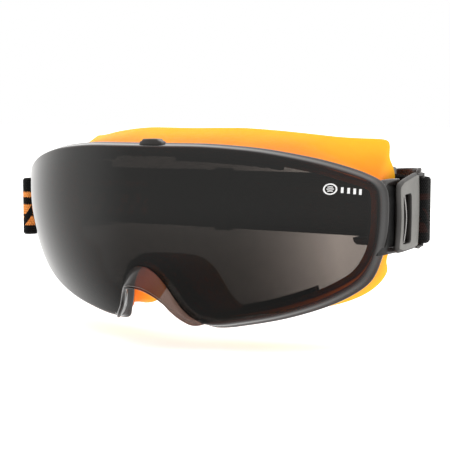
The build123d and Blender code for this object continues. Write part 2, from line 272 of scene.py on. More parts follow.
def smoked(name, clear, steepness, haze, rough, ior=1.5, least=0.0, graded=False):
    """Smoked polycarbonate: denser the more obliquely it is looked through, never below the share least.

    graded makes it lighter towards the temples.
    """
    mat, tree = material(name)
    geometry = node(tree, "ShaderNodeNewGeometry")
    facing = node(
        tree, "ShaderNodeVectorMath", {0: geometry.outputs["Incoming"], 1: geometry.outputs["True Normal"]},
        operation="DOT_PRODUCT",
    ).outputs["Value"]
    cosine = calc(tree, "MAXIMUM", calc(tree, "ABSOLUTE", facing), 0.08)
    slant = calc(tree, "SUBTRACT", calc(tree, "DIVIDE", 1.0, cosine), 1.0)
    passed = calc(tree, "EXPONENT", calc(tree, "MULTIPLY", slant, -steepness))
    passed = calc(tree, "ADD", calc(tree, "MULTIPLY", passed, 1.0 - least), least)
    if graded:
        across = node(tree, "ShaderNodeSeparateXYZ", {0: position(tree)}).outputs[0]
        beyond = calc(tree, "SUBTRACT", calc(tree, "ABSOLUTE", across), GRADE_START)
        outboard = calc(tree, "DIVIDE", beyond, GRADE_SPAN, clamp=True)
        gain = calc(tree, "MULTIPLY", calc(tree, "POWER", outboard, GRADE_POWER), GRADE_GAIN)
        passed = calc(tree, "MULTIPLY", passed, calc(tree, "ADD", gain, GRADE_LEAST))
    tint = mix_colour(tree, passed, (0, 0, 0, 1), (*clear, 1))
    through = node(tree, "ShaderNodeBsdfTransparent", {"Color": tint}).outputs[0]
    where = position(tree)
    cloud = spread(tree, noise(tree, 60.0, 3.0, 0.5, where), 0, 1)
    thicker = (haze[0] * 1.25, haze[1] * 1.2, haze[2] * 1.15, 1)
    body = node(tree, "ShaderNodeBsdfDiffuse", {"Color": mix_colour(tree, cloud, (*haze, 1), thicker)}).outputs[0]
    inside = node(tree, "ShaderNodeAddShader", {0: through, 1: body}).outputs[0]
    marks = spread(tree, noise(tree, 420.0, 5.0, 0.65, where), *rough)
    swell = noise(tree, 45.0, 1.0, 0.4, where)
    ripple = node(tree, "ShaderNodeBump", {"Strength": 0.03, "Distance": 0.0002, "Height": swell}).outputs[0]
    links = {"Roughness": marks, "Color": WHITE, "Normal": ripple}
    mirror = node(tree, "ShaderNodeBsdfGlossy", links).outputs[0]
    share = node(tree, "ShaderNodeFresnel", {"IOR": ior}).outputs[0]
    front = node(tree, "ShaderNodeMixShader", {0: share, 1: inside, 2: mirror}).outputs[0]
    # Only the face that is entered tints, so a wall of any thickness counts once.
    clear_back = node(tree, "ShaderNodeBsdfTransparent", {"Color": WHITE}).outputs[0]
    links = {0: geometry.outputs["Backfacing"], 1: front, 2: clear_back}
    finish_material(tree, node(tree, "ShaderNodeMixShader", links).outputs[0])
    return mat


lens_material = smoked(
    "smoked_lens", (0.20, 0.168, 0.148), 1.5, (0.002, 0.002, 0.0017), (0.02, 0.06), graded=True
)
rim_material = smoked(
    "smoked_rim", (0.022, 0.010, 0.008), 0.8, (0.005, 0.0046, 0.0045), (0.12, 0.22), ior=1.4, least=0.15
)
hood_material = smoked(
    "smoked_hood", (0.11, 0.068, 0.055), 0.9, (0.004, 0.0035, 0.0032), (0.08, 0.16), least=0.15
)
# Lighter beads along the nose hood's root and free edge: painted highlight lines.
highlight_bead_material = moulded("painted_highlight_edge", (0.10, 0.09, 0.085), (0.17, 0.155, 0.145), (0.15, 0.25), coat=0.6)
ear_material = moulded("ear_smoke", (0.010, 0.009, 0.009), (0.022, 0.015, 0.013), (0.22, 0.36), coat=0.4)
catch_material = moulded("catch_smoke", (0.009, 0.009, 0.009), (0.020, 0.016, 0.014), (0.25, 0.4), coat=0.3)
buckle_material = moulded(
    "buckle_plastic", (0.135, 0.132, 0.122), (0.18, 0.175, 0.163), (0.3, 0.44), grain=3200.0, depth=0.15
)
# Light grey for the thin rib by the buckle's slot: a painted highlight along that curved edge.
rib_highlight_material = moulded("buckle_rib_painted_highlight", (0.42, 0.41, 0.40), (0.55, 0.54, 0.52), (0.25, 0.35))
# Shaded copy of the buckle plastic: painted shade on the plate's edge bands and slot walls, and on the hook, web,
# shoulders and bar.
shaded_buckle_material = moulded(
    "buckle_painted_shade", (0.022, 0.021, 0.020), (0.040, 0.036, 0.033), (0.32, 0.46), grain=3200.0, depth=0.15
)
# Near-black with a red cast for the buckle's horns: painted shade, with a painted reflection of the orange seal.
shaded_horn_material = moulded("buckle_horn_painted_shade", (0.012, 0.009, 0.008), (0.035, 0.019, 0.015), (0.2, 0.34), coat=0.3)
slider_material = moulded(
    "slider_plastic", (0.014, 0.014, 0.014), (0.026, 0.025, 0.024), (0.3, 0.45), edge=0.0004
)
vent_material = moulded("vent_plastic", (0.016, 0.015, 0.014), (0.028, 0.026, 0.024), (0.45, 0.6), edge=0.0003)
keeper_material = moulded(
    "keeper_rubber", (0.011, 0.011, 0.011), (0.022, 0.022, 0.022), (0.6, 0.8), grain=1800.0, depth=0.3
)


def seal_looks():
    """Satin orange elastomer: deeper orange by the shield, yellower towards the thin free edge; painted shade by the
    shield and painted light towards the free edge.
    """
    mat, tree = material("orange_elastomer")
    where = position(tree)
    rise = node(tree, "ShaderNodeAttribute", attribute_name="rise").outputs["Fac"]
    cloud = spread(tree, noise(tree, 55.0, 3.0, 0.5, where), -0.06, 0.06)
    share = calc(tree, "ADD", rise, cloud, clamp=True)
    # The ramp from deep to yellow orange paints shade by the shield and light towards the free edge.
    ramp = node(tree, "ShaderNodeValToRGB", {0: share})
    stops = ramp.color_ramp.elements
    stops[0].position, stops[0].color = 0.0, (0.84, 0.17, 0.006, 1)
    stops[1].position, stops[1].color = 1.0, (0.94, 0.47, 0.018, 1)
    for at, colour in ((0.42, (0.92, 0.26, 0.008, 1)), (0.72, (0.94, 0.36, 0.012, 1))):
        stop = stops.new(at)
        stop.color = colour
    waves = calc(tree, "MULTIPLY", noise(tree, 160.0, 2.0, 0.5, where), 0.8)
    height = calc(tree, "ADD", noise(tree, 2400.0, 2.0, 0.5, where), waves)
    bump = node(tree, "ShaderNodeBump", {"Strength": 0.14, "Distance": 0.00012, "Height": height}).outputs[0]
    roughness = spread(tree, noise(tree, 500.0, 4.0, 0.6, where), 0.42, 0.56)
    links = {"Base Color": ramp.outputs[0], "Roughness": roughness}
    links.update({"Normal": bump, "Subsurface Weight": 0.2, "Subsurface Scale": 0.003})
    links.update({"Subsurface Radius": (1.0, 0.45, 0.1), "Specular IOR Level": 0.05})
    finish_material(tree, node(tree, "ShaderNodeBsdfPrincipled", links).outputs[0])
    return mat


def webbing_looks():
    """Woven elastic: raised ribs along it, weft picks across it, a woven stripe and blocks on one side only."""
    mat, tree = material("woven_webbing")
    along = node(tree, "ShaderNodeAttribute", attribute_name="along").outputs["Fac"]
    across = node(tree, "ShaderNodeAttribute", attribute_name="across").outputs["Fac"]
    side = node(tree, "ShaderNodeAttribute", attribute_name="side").outputs["Fac"]

    def wave(value, pitch, shift=0.0):
        turns = calc(tree, "ADD", calc(tree, "MULTIPLY", value, 2 * math.pi / pitch), shift)
        return calc(tree, "MULTIPLY", calc(tree, "ADD", calc(tree, "SINE", turns), 1.0), 0.5)

    ribs = wave(across, 1.05)
    twill = calc(tree, "ADD", along, calc(tree, "MULTIPLY", across, 0.42))
    picks = wave(twill, 0.62)
    fuzz = noise(tree, 3800.0, 3.0, 0.7, position(tree))
    height = calc(tree, "ADD", calc(tree, "MULTIPLY", ribs, 0.55), calc(tree, "MULTIPLY", picks, 0.6))
    height = calc(tree, "ADD", height, calc(tree, "MULTIPLY", fuzz, 0.35))

    def between(value, low, high):
        above = calc(tree, "GREATER_THAN", value, low)
        below = calc(tree, "LESS_THAN", value, high)
        return calc(tree, "MULTIPLY", above, below)

    ragged = calc(tree, "ADD", across, calc(tree, "MULTIPLY", calc(tree, "SUBTRACT", picks, 0.5), 0.35))
    stripe = between(ragged, 4.1, 6.4)
    slant = calc(tree, "ADD", along, calc(tree, "MULTIPLY", ragged, 0.55))
    blocks = calc(tree, "GREATER_THAN", calc(tree, "FRACT", calc(tree, "DIVIDE", slant, 6.4)), 0.38)
    gaps = calc(tree, "GREATER_THAN", calc(tree, "FRACT", calc(tree, "DIVIDE", slant, 17.0)), 0.16)
    rows = calc(tree, "MAXIMUM", between(ragged, -8.2, -4.3), between(ragged, -3.3, 0.9))
    motif = calc(tree, "MULTIPLY", calc(tree, "MULTIPLY", blocks, gaps), rows)
    mark = calc(tree, "MAXIMUM", stripe, motif)
    # Colour follows the weave's height: lighter on raised ribs and picks, darker in the grooves, a painted shade.
    black_relief_shade = calc(tree, "MULTIPLY", height, 0.7)
    black = mix_colour(tree, black_relief_shade, (0.0012, 0.0012, 0.0012, 1), (0.0085, 0.0082, 0.008, 1))
    orange_relief_shade = calc(tree, "MULTIPLY", height, 0.8)
    orange = mix_colour(tree, orange_relief_shade, (0.42, 0.13, 0.03, 1), (0.95, 0.34, 0.08, 1))
    shadow = mix_colour(tree, 0.3, black, (0.05, 0.012, 0.007, 1))
    face = mix_colour(tree, mark, black, orange)
    reverse = mix_colour(tree, mark, black, shadow)
    colour = mix_colour(tree, side, reverse, face)
    bump = node(tree, "ShaderNodeBump", {"Strength": 0.85, "Distance": 0.00035, "Height": height}).outputs[0]
    links = {"Base Color": colour, "Roughness": 0.86, "Normal": bump}
    links.update({"Sheen Weight": 0.04, "Sheen Roughness": 0.5, "Specular IOR Level": 0.12})
    finish_material(tree, node(tree, "ShaderNodeBsdfPrincipled", links).outputs[0])
    return mat


def thread_looks():
    """Twisted grey sewing thread."""
    mat, tree = material("sewing_thread")
    where = position(tree)
    twist = node(tree, "ShaderNodeTexWave", {"Scale": 1400.0, "Distortion": 1.5, "Vector": where}).outputs[1]
    # Colour follows the twist: darker in its grooves, lighter on its crowns, a painted shade.
    colour = mix_colour(tree, twist, (0.018, 0.018, 0.018, 1), (0.07, 0.068, 0.065, 1))
    bump = node(tree, "ShaderNodeBump", {"Strength": 0.6, "Distance": 0.0001, "Height": twist}).outputs[0]
    links = {"Base Color": colour, "Roughness": 0.7, "Normal": bump, "Sheen Weight": 0.3}
    finish_material(tree, node(tree, "ShaderNodeBsdfPrincipled", links).outputs[0])
    return mat


def print_looks():
    """Slightly worn white printing."""
    mat, tree = material("printed_mark")
    worn = spread(tree, noise(tree, 2500.0, 4.0, 0.7, position(tree)), 0.0, 1.0)
    colour = mix_colour(tree, worn, (0.62, 0.62, 0.62, 1), (0.86, 0.86, 0.86, 1))
    links = {"Base Color": colour, "Roughness": 0.5}
    finish_material(tree, node(tree, "ShaderNodeBsdfPrincipled", links).outputs[0])
    return mat


orange = seal_looks()
webbing = webbing_looks()
thread = thread_looks()
printed = print_looks()

# ---------------------------------------------------------------- shield

# The wearer's-left half of the shield's outline, as (x, z), from the middle of the brow round to the nose arch.
HALF = [
    *[(0, 28.4), (12, 28.4), (24, 28.3), (35, 27.6), (46, 26.3), (61, 23.0), (70, 19.9), (74.5, 18.0)],
    *[(77.2, 16.3), (78.8, 14.0), (79.4, 11.0), (79.5, 5.0), (79.0, -1.0), (77.9, -6.8), (76.0, -12.0)],
    *[(73.6, -16.2), (70.5, -19.6), (61.0, -25.4), (46.0, -30.8), (30.0, -34.3), (26.0, -35.0)],
    *[(21.2, -35.4), (18.5, -35.1), (16.2, -33.9), (14.2, -31.9), (12.1, -28.4), (9.8, -23.2), (6.2, -17.9)],
    *[(3.2, -15.5), (0, -14.9)],
]
SHIELD_SPAN = 8  # steps between outline points


def full_loop(half, per_span=SHIELD_SPAN):
    """Closed outline from its wearer's-left half."""
    left = [(-x, z) for x, z in half[1:-1]][::-1]
    return chain(list(half) + left, per_span, closed=True)


UPRIGHT_RADIUS, UPRIGHT_Z = 88.0, 10.0  # the face's curve from brow to cheek, and the height of its centre
AXIS_OFFSET, AXIS_Y = 12.0, 60.0  # from that curve's centre to the upright axis it turns round, and the axis
FLATTER, TEMPLE_X = 3.0, 79.0  # how far forward the temples stand of the CAD's face


def face_y(x, z, inset=0.0):
    """Toric face of the shield, a little flatter than the CAD one towards the temples."""
    k = AXIS_OFFSET + np.sqrt((UPRIGHT_RADIUS - inset) ** 2 - (np.asarray(z) - UPRIGHT_Z) ** 2)
    y = AXIS_Y - np.sqrt(k**2 - np.asarray(x) ** 2)
    return y - FLATTER * np.clip(np.abs(x) / TEMPLE_X, 0, 1.05) ** 2.2


loop = full_loop(HALF)
steps = np.roll(loop, -1, axis=0) - np.roll(loop, 1, axis=0)
steps /= np.linalg.norm(steps, axis=1)[:, None]
normals = np.stack([-steps[:, 1], steps[:, 0]], axis=1)
if np.dot(normals[0], (0, 1)) < 0:
    normals = -normals


def lip_scale(point):
    """How far the rim stands out of the face edge: more along the bottom, less at the sides and the nose."""
    x, z = abs(point[0]), point[1]
    bottom = 1 / (1 + math.exp((z + 17.0) / 3.0))
    nose = 1 / (1 + math.exp((x - 17.2) / 1.1)) if z < 0 else 0.0
    side = 1 / (1 + math.exp(-(x - 74.0) / 2.0)) * 0.5
    return (1.0 + 1.15 * bottom - side) * (1 - nose) + 0.12 * nose


scales = np.array([lip_scale(p) for p in loop])
# The rim as (distance out of the outline, depth behind the face): its outer side, then its inner side.
ROLL = [(0.22, 0.05), (0.42, 0.22), (0.58, 0.55), (0.72, 1.1), (0.85, 2.0), (1.0, 3.1), (1.16, 4.2)]
ROLL += [(1.4, 4.75), (1.52, 5.1), (1.55, 5.7), (1.5, 6.2), (1.3, 6.48), (0.9, 6.55)]
INNER = [(-0.6, 6.55), (-1.1, 6.5), (-1.4, 6.2), (-1.5, 5.6), (-1.5, 4.6)]

LENS, RIM = 0, 1  # material slots
WALL_INSET = 2.2  # thickness of the lens
rings, ring_kind = [], []
hub = np.array([0.0, 8.0])


def shield_ring(xz, kind, inset=0.0, depth=0.0):
    rings.append(np.stack([xz[:, 0], face_y(xz[:, 0], xz[:, 1], inset) + depth, xz[:, 1]], axis=1))
    ring_kind.append(kind)


for s in list(np.linspace(0.02, 0.9, 40)) + [0.93, 0.96, 0.98, 0.992, 1.0]:
    shield_ring(hub + (loop - hub) * s, LENS)
for o, d in ROLL:
    shield_ring(loop + normals * (o * scales)[:, None], RIM, depth=d)
for o, d in INNER:
    shield_ring(loop + normals * o, RIM, depth=d)
inner_edge = loop - normals * 1.55
for s in [1.0, 0.97, 0.93] + list(np.linspace(0.88, 0.02, 36)):
    shield_ring(hub + (inner_edge - hub) * s, LENS, inset=WALL_INSET)
verts, faces = skin(rings)
n = len(loop)
kinds = []
for near, far in zip(ring_kind, ring_kind[1:]):
    kinds += [RIM if RIM in (near, far) else LENS] * n
kinds += [LENS] * (2 * n)
shield = make(
    "shield_shell", verts, outward(verts, faces), "shield", [lens_material, rim_material],
    face_material=kinds,
)
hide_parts("lens_shield")

# Nose hood: leaves the nose arch forwards and down, with a rolled free edge.
ROOT = [(19.9, -35.3), (16.7, -34.3), (14.2, -31.9), (12.1, -28.4), (9.8, -23.2), (6.2, -17.9)]
ROOT += [(3.1, -15.5), (0, -14.9)]
FREE = [(20.9, -23.0, -36.3), (17.7, -27.2, -36.0), (14.7, -30.6, -33.8), (11.9, -33.1, -31.0)]
FREE += [(9.7, -35.3, -28.0), (6.8, -38.6, -24.6), (3.8, -41.6, -22.2), (0, -42.8, -21.5)]


def whole_arch(half):
    """Line over the nose from its wearer's-left half."""
    return chain(list(half) + [(-p[0], *p[1:]) for p in half[:-1]][::-1], 10)


HOOD_WALL = 1.5
root = whole_arch([(x, float(face_y(x, z)) + 0.1, z) for x, z in ROOT])
free = whole_arch(FREE)
along_arch = np.gradient(root + free, axis=0)
sections = []
for a, b, t in zip(root, free, along_arch):
    across = b - a
    length = np.linalg.norm(across)
    out = np.cross(across, t)
    out /= np.linalg.norm(out)
    if out[2] < 0 and abs(out[2]) > 0.05:
        out = -out
    if np.dot(out, (0, -1, 0.6)) < 0:
        out = -out
    profile = []
    wall = min(HOOD_WALL, length * 0.6)
    for s in np.linspace(-0.06, 0.97, 10):
        swell = 0.3 * math.sin(math.pi * max(0.0, s)) + 0.12
        profile.append(a + across * s + out * swell)
    for k in range(1, 6):
        turn = math.pi * k / 6
        tip = across / max(length, 1e-6) * math.sin(turn) * wall * 0.5
        profile.append(b - across * 0.03 - out * wall * (1 - math.cos(turn)) / 2 + tip)
    for s in np.linspace(0.97, -0.06, 8):
        profile.append(a + across * s - out * wall)
    sections.append(profile)
verts, faces = skin(sections)
make("nose_hood", verts, outward(verts, faces), "shield", [hood_material])
# Thin lighter beads along the hood's root and free edge; their colour is a painted highlight line.
root_line = root[4:-4] - (0, 0.1, 0.08)
for name, line, thick in (("nose_root_line", root_line, 0.2), ("nose_free_line", free[3:-3], 0.18)):
    verts, faces = sweep(line, (thick, thick), up=(0, 1, 0.3), radius=0.14, ends=0.1)
    make(name, verts, faces, "shield", [highlight_bead_material])

# Catch on the brow, as (x, height above the rim).
CATCH = [(-1.2, 0.5), (-0.9, 1.0), (-0.1, 1.25), (0.5, 1.9), (3.4, 2.0)]
CATCH += [(6.4, 1.9), (7.1, 1.25), (7.9, 1.0), (8.3, 0.5)]
CATCH_FOOT, RIM_TOP = 28.6, 29.5
sections = []
for x, rise in CATCH:
    top = RIM_TOP + rise
    middle_y = float(face_y(x, 29.0)) + 6.4 - 1.9
    ring = rounded(2 * (1.5 + 0.25 * rise), top - CATCH_FOOT, 0.55, 4)
    sections.append([(x, middle_y + p, (top + CATCH_FOOT) / 2 + q) for p, q in ring])
verts, faces = skin(sections)
make("brow_catch", verts, outward(verts, faces), "shield", [catch_material])

# Ears: two arms that leave the rim's side, a post between their ends and a thin web beside the seal.
EAR_Z = 2.3  # middle height of the ears and the buckles
for side in (1, -1):
    which = "left" if side > 0 else "right"

    def put_ear(part, verts, faces, looks=ear_material):
        if side < 0:
            verts, faces = mirrored(verts, faces)
        return make(f"ear_{part}_{which}", verts, faces, "shield", [looks])

    for tag, z_arm, z_root in (("upper", 15.7, 14.8), ("lower", -8.9, -8.3)):
        bend = (77.6, 3.6, (z_root + 2 * z_arm) / 3)
        path = chain([(76.5, 1.4, z_root), bend, (78.2, 7.0, z_arm), (79.1, 12.8, z_arm)], 6)
        share = np.linspace(0, 1, len(path))
        sizes = np.stack([1.4 + 0.2 * share, 3.4 - 0.8 * share**0.6], axis=1)
        put_ear(f"{tag}_arm", *sweep(path, sizes, radius=0.7))
    post = [(79.3, 12.7, -9.9), (79.4, 12.9, -7.6), (80.0, 13.6, -3.4), (80.3, 13.9, EAR_Z)]
    post += [(80.0, 13.6, 8.6), (79.4, 12.9, 13.4), (79.3, 12.7, 16.6)]
    put_ear("post", *sweep(chain(post, 8), (1.9, 1.9), up=(1, 0, 0), radius=0.92))
    # The web is a matte black sheet in the ear's slot: painted shade for the slot's dark inside.
    web = chain([(x, y, EAR_Z) for x, y in ((77.6, -0.4), (78.3, 2.5), (78.55, 7.0), (78.55, 13.0))], 6)
    put_ear("web", *sweep(web, (0.5, 25.0), radius=0.22), keeper_material)

# ---------------------------------------------------------------- face seal

# Half outlines of the seal, as (x, z), at three depths y. Point by point they are joined by straight rails.
SECTIONS = {
    -40.0: [
        *[(0, 25.6), (23.5, 25.4), (45, 23.6), (59.5, 20.3), (72.6, 15.4), (75.8, 13.2), (76.8, 10.2)],
        *[(76.2, -0.8), (73.4, -10.8), (68.2, -17.6), (59.4, -22.8), (45, -27.9), (29.8, -31.3), (24.4, -32)],
        *[(19.9, -31.4), (15.4, -26.6), (12.4, -20.8), (7.6, -14.6), (0, -11.8)],
    ],
    2.0: [
        *[(0, 35.3), (24, 34.6), (46, 30.6), (61, 24.6), (74.5, 18.4), (77.2, 16.9), (78.2, 13.2), (78.0, 0)],
        *[(75.2, -12), (70, -20), (61, -26.4), (46, -32.2), (30.5, -35.4), (24, -35.6), (18.6, -34.0)],
        *[(14, -29.4), (11.2, -24.8), (7, -19.8), (0, -17.2)],
    ],
    42.0: [
        *[(0, 42), (24, 41.4), (44, 39.6), (56, 39.3), (65, 36.6), (67.5, 31), (70.6, 26), (70.5, 4)],
        *[(69, -14), (65, -26), (58, -33.4), (45, -39.0), (32, -41.4), (26, -41.6), (20.4, -40.0)],
        *[(15.8, -35.2), (13, -30.0), (8.2, -24.6), (0, -22)],
    ],
}
SEAL_SPAN = 14
levels = sorted(SECTIONS)
loops = [full_loop(SECTIONS[y], SEAL_SPAN) for y in levels]


def seal_at(y):
    """Outer outline of the seal at the given y of each rail."""
    y = np.asarray(y)[:, None]
    low = loops[0] + (loops[1] - loops[0]) * ((y - levels[0]) / (levels[1] - levels[0]))
    high = loops[1] + (loops[2] - loops[1]) * ((y - levels[1]) / (levels[2] - levels[1]))
    return np.where(y < levels[1], low, high)


count = len(loops[0])
middle = seal_at(np.full(count, 10.0))
tangent = np.roll(middle, -1, axis=0) - np.roll(middle, 1, axis=0)
tangent /= np.linalg.norm(tangent, axis=1)[:, None]
out_dir = np.stack([-tangent[:, 1], tangent[:, 0]], axis=1)
if out_dir[0, 1] < 0:
    out_dir = -out_dir

# Where each rail ends: on an upright cylinder that stands for the face, cut short at the temples.
FACE_RADIUS = 94.5
TEMPLE_END = 21.0
ends = np.zeros(count)
for _ in range(12):
    xz = seal_at(ends)
    ends = FACE_RADIUS - np.sqrt(np.maximum(FACE_RADIUS**2 - xz[:, 0] ** 2, 1.0))
edge_point = seal_at(ends)
for i in range(count):
    x, z = abs(edge_point[i, 0]), edge_point[i, 1]
    if x > 55:
        inside = min(1 / (1 + math.exp((z - 28.5) / 0.6)), 1 / (1 + math.exp((-17.5 - z) / 0.9)))
        ends[i] = ends[i] * (1 - inside) + min(ends[i], TEMPLE_END) * inside
for _ in range(3):
    ends = (np.roll(ends, 1) + 2 * ends + np.roll(ends, -1)) / 4
front_xz = loops[0]
shield_back = face_y(np.clip(front_xz[:, 0], -78, 78), front_xz[:, 1])
starts = shield_back + 7.4

seal_rings, rises = [], []


def add_ring(y, inset, rise, lift=0.0):
    """One ring of the skirt, inset into its outer surface less lift; rise drives the colour."""
    xz = seal_at(y) - out_dir * (inset - lift)
    seal_rings.append(np.stack([xz[:, 0], y, xz[:, 1]], axis=1))
    rises.extend(np.broadcast_to(rise, (count,)))


length = ends - starts
WALL = 2.4  # thickness of the skirt
for s in np.linspace(0.0, 0.955, 26):
    y = starts + length * s
    hollow = 0.55 * math.sin(math.pi * min(1.0, s * 1.05))
    add_ring(y, hollow, s, lift=0.35 * max(0.0, (s - 0.8) / 0.2) ** 2)
for k in range(1, 8):
    turn = math.pi * k / 8
    y = ends - 1.0 + math.sin(turn) * 1.0
    add_ring(y, WALL * (1 - math.cos(turn)) / 2, 1.0, lift=0.32)
for s in np.linspace(0.955, 0.0, 18):
    add_ring(starts + length * s, WALL + 0.4 * math.sin(math.pi * s), s * 0.8)
verts, faces = skin(seal_rings, cap=False, closed=True)
skirt = make("seal_skirt", verts, outward(verts, faces), "seal", [orange], floats={"rise": rises})
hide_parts("face_skirt")

# Carrier: collar inside the rim and the seat behind it, one closed ring.
# Its section is given as (distance out of the outline, depth behind the face).
profile = [(-2.45, 3.3), (-2.4, 4.2), (-2.4, 6.7), (-2.2, 6.95), (-0.5, 7.0), (-0.1, 7.25), (-0.1, 7.9)]
profile += [(-0.4, 8.2), (-1.6, 8.45), (-3.0, 8.5), (-4.6, 8.5), (-4.9, 8.2), (-5.0, 7.0), (-5.0, 4.4)]
profile += [(-4.8, 3.4), (-4.2, 3.2), (-3.0, 3.15)]
COLLAR_SIDE = -2.3  # points deeper in than this are drawn closer together, which slims the collar
carrier_rings = []
depth_floor = face_y(loop[:, 0], loop[:, 1], 2.6) - face_y(loop[:, 0], loop[:, 1])
for o, d in profile:
    xz = loop + normals * (o if o > COLLAR_SIDE else 0.55 * o - 0.65)
    if o > COLLAR_SIDE:
        beside_ears = (xz[:, 1] > -13) & (xz[:, 1] < 18)
        xz[:, 0] = np.where(beside_ears, np.clip(xz[:, 0], -77.7, 77.7), xz[:, 0])
    deep = np.maximum(d, depth_floor + 0.3) if d < 5 else np.full(len(loop), d)
    carrier_rings.append(np.stack([xz[:, 0], face_y(xz[:, 0], xz[:, 1]) + deep, xz[:, 1]], axis=1))
verts, faces = skin(carrier_rings, cap=False, closed=True)
rise = np.full(len(verts), 0.1)
carrier = make("seal_collar", verts, outward(verts, faces), "seal", [orange], floats={"rise": rise})
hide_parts("seal_carrier")
for name in nodes:
    if "vent_insert" in name:
        repaint(name, vent_material)

# ---------------------------------------------------------------- buckles

# Outlines of the buckle's plate and its slot, as (y, z).
PLATE = [
    *[(7.4, -8.6), (8.4, -9.6), (11.5, -9.9), (18.0, -9.8), (24.5, -9.5), (26.4, -9.0), (27.1, -7.6)],
    *[(27.6, -2.0), (27.9, 5.0), (27.7, 12.0), (27.2, 17.0), (26.6, 18.3), (25.2, 18.6), (18.0, 17.6)],
    *[(10.6, 16.0), (8.6, 15.2), (7.7, 13.4), (8.1, 8.0), (8.5, 3.0), (8.1, -3.0)],
]
SLOT = [
    *[(11.7, -6.3), (12.6, -6.7), (15.4, -6.7), (17.6, -6.6), (18.4, -6.0), (18.6, -3.0), (18.7, 3.0)],
    *[(18.6, 8.0), (18.4, 10.6), (17.6, 11.2), (15.4, 11.1), (12.8, 10.9), (12.0, 10.2), (12.0, 6.0)],
    *[(12.2, 2.0), (12.0, -3.0)],
]


def around(points, centre, total):
    """Loop resampled at even angles about centre."""
    p = chain(points, 16, closed=True) - centre
    angle = np.arctan2(p[:, 1], p[:, 0])
    order = np.argsort(angle)
    angle, reach = angle[order], np.hypot(p[:, 0], p[:, 1])[order]
    angle = np.concatenate([angle - 2 * math.pi, angle, angle + 2 * math.pi])
    reach = np.tile(reach, 3)
    at = np.linspace(-math.pi, math.pi, total, endpoint=False)
    r = np.interp(at, angle, reach)
    return centre + np.stack([np.cos(at), np.sin(at)], axis=1) * r[:, None]


def front_bevel(ring, amount):
    """Inset that is wider along the plate's front edge."""
    return amount + 0.75 * amount * np.clip((12.0 - ring[:, 0]) / 3.0, 0, 1)


def shrink(ring, amount):
    """Ring drawn in by amount, which may be one number or one for each point."""
    t = np.roll(ring, -1, axis=0) - np.roll(ring, 1, axis=0)
    t /= np.linalg.norm(t, axis=1)[:, None]
    return ring + np.stack([-t[:, 1], t[:, 0]], axis=1) * np.broadcast_to(amount, (len(ring),))[:, None]


centre = np.array([15.6, 2.2])
TOTAL = 180
plate_ring = around(PLATE, centre, TOTAL)
slot_ring = around(SLOT, centre, TOTAL)


def crown(ring):
    """Slight outward bow of the plate's face."""
    return 0.28 * (1 - ((ring[:, 0] - 19.0) / 9.5) ** 2) - 0.1 * ((ring[:, 1] - 4) / 14) ** 2


def plate_level(ring, x, bowed=0.0):
    """Ring set at x, with a share of the crown."""
    return np.stack([x + crown(ring) * bowed, ring[:, 0], ring[:, 1]], axis=1)


# From the plate's back round its outer edge, over its face and back through the slot: (inset, x, share of the crown).
PLATE_BACK = 80.85
EDGE = [(0.25, PLATE_BACK, 0.0), (0, 81.05, 0.0), (0, 81.4, 0.0)]
BEVEL = [(0.3, 81.85, 0.3), (0.9, 82.3, 0.9), (1.15, 82.38, 1.0), (1.4, 82.4, 1.0)]
MOUTH = [(-0.5, 82.4, 1.0), (-0.25, 82.36, 1.0), (-0.05, 82.2, 1.0), (0, 81.9, 0.5), (0, 81.05, 0.0)]
MOUTH += [(-0.25, PLATE_BACK, 0.0)]
levels_out = [plate_level(shrink(plate_ring, inset), x, bow) for inset, x, bow in EDGE]
levels_out += [plate_level(shrink(plate_ring, front_bevel(plate_ring, inset)), x, bow) for inset, x, bow in BEVEL]
levels_out += [plate_level(shrink(slot_ring, inset), x, bow) for inset, x, bow in MOUTH]
plate_verts, plate_faces = skin(levels_out, cap=False, closed=True)
FACE_LEVELS = (4, 5, 6, 7)  # the bands that get the buckle's lit grey; the other bands get its painted shade
plate_faces_material = []
for i in range(len(levels_out)):
    plate_faces_material += [0 if i in FACE_LEVELS else 1] * TOTAL
flipped = outward(plate_verts, plate_faces)

BAR = (81.2, 31.2)  # (x, y) of the strap bar
BAR_RADIUS = 1.35
HOOK = (80.4, 13.9)  # (x, y) of the hook's centre
HOOK_RADIUS = 1.75

